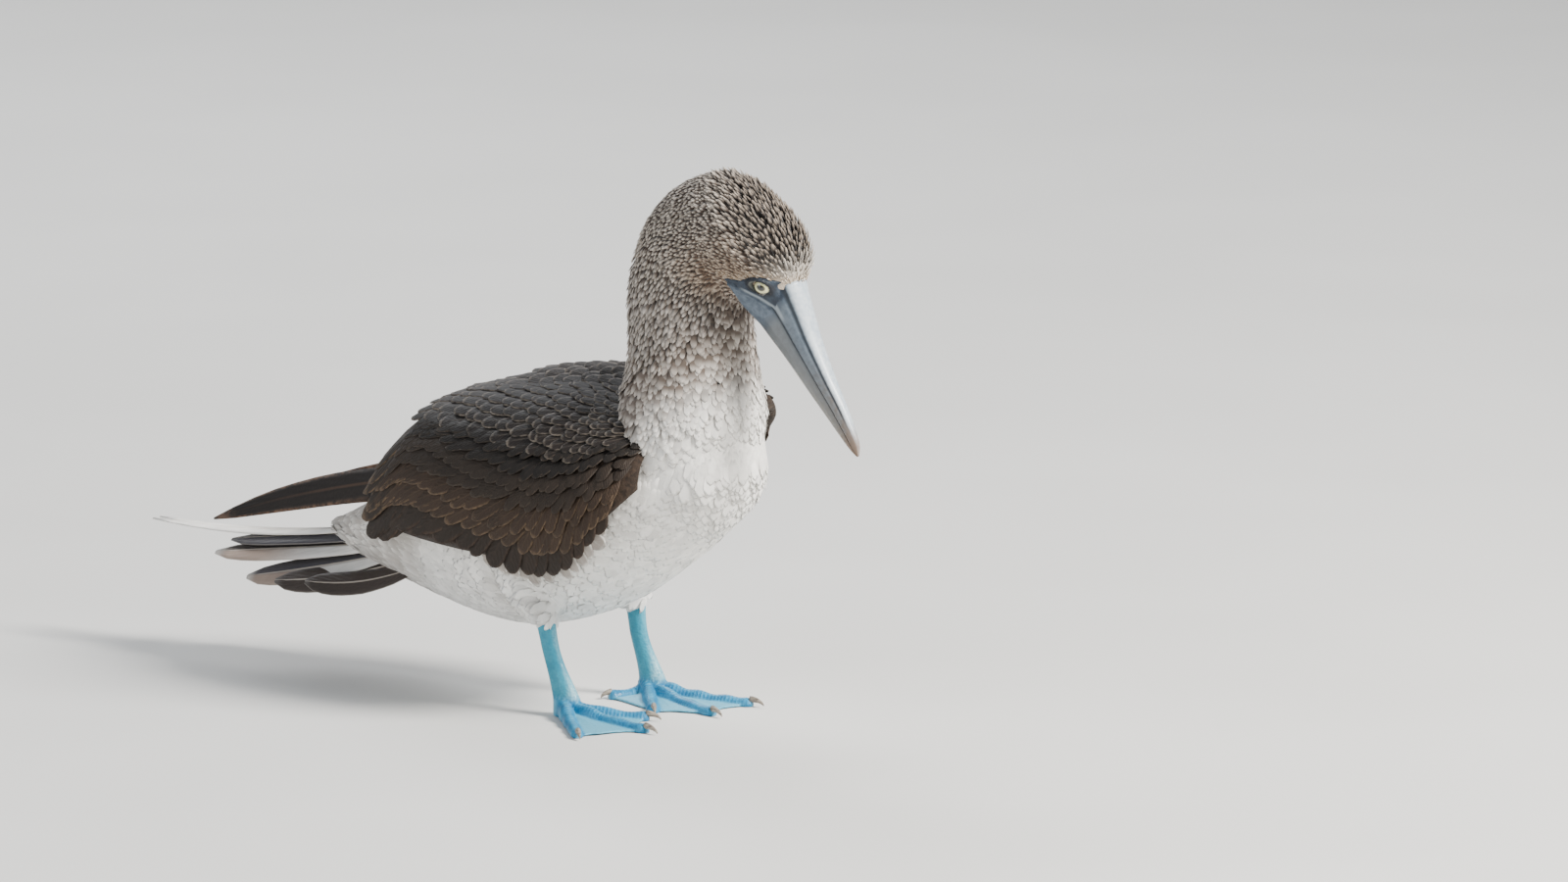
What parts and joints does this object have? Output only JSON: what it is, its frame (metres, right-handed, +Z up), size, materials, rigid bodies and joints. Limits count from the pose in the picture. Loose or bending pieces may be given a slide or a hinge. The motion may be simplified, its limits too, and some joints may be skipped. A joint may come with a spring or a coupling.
{
  "type": "blue-footed booby",
  "caption": "Life-size still model of a blue-footed booby standing on flat ground, neck upright, bill bowed forward, wings folded and tail held out behind.",
  "frame": {"origin": "middle of the bounding box on the ground under the feet", "axes": "+X the way the bird faces, +Y its left side, +Z up"},
  "size_m": [0.5484, 0.181, 0.3396],
  "materials": {
    "head_feathers": "matt, streaked pale and dark brown",
    "neck_feathers": "matt, pale streaked brown turning white below",
    "body_feathers": "matt white",
    "wing_feathers": "satin dark brown with paler edges",
    "tail_feathers": "satin, white in the middle and brown at the sides",
    "bill": "horn, satin blue-grey",
    "eye": "wet, pale yellow iris with a black pupil",
    "blue_skin": "scaly skin, turquoise blue",
    "claw": "horn, satin grey-brown"
  },
  "bodies": {
    "root": {"head": "head_feathers", "neck": "neck_feathers", "torso": "body_feathers", "tail": "tail_feathers", "wing_right": "wing_feathers", "wing_left": "wing_feathers", "bill_upper": "bill", "bill_lower": "bill", "eye_right": "eye", "eye_left": "eye", "leg_right": "blue_skin", "leg_left": "blue_skin", "foot_right": "blue_skin", "foot_left": "blue_skin", "claw_right_hind": "claw", "claw_right_inner": "claw", "claw_right_middle": "claw", "claw_right_outer": "claw", "claw_left_hind": "claw", "claw_left_inner": "claw", "claw_left_middle": "claw", "claw_left_outer": "claw"}
  },
  "joints": []
}
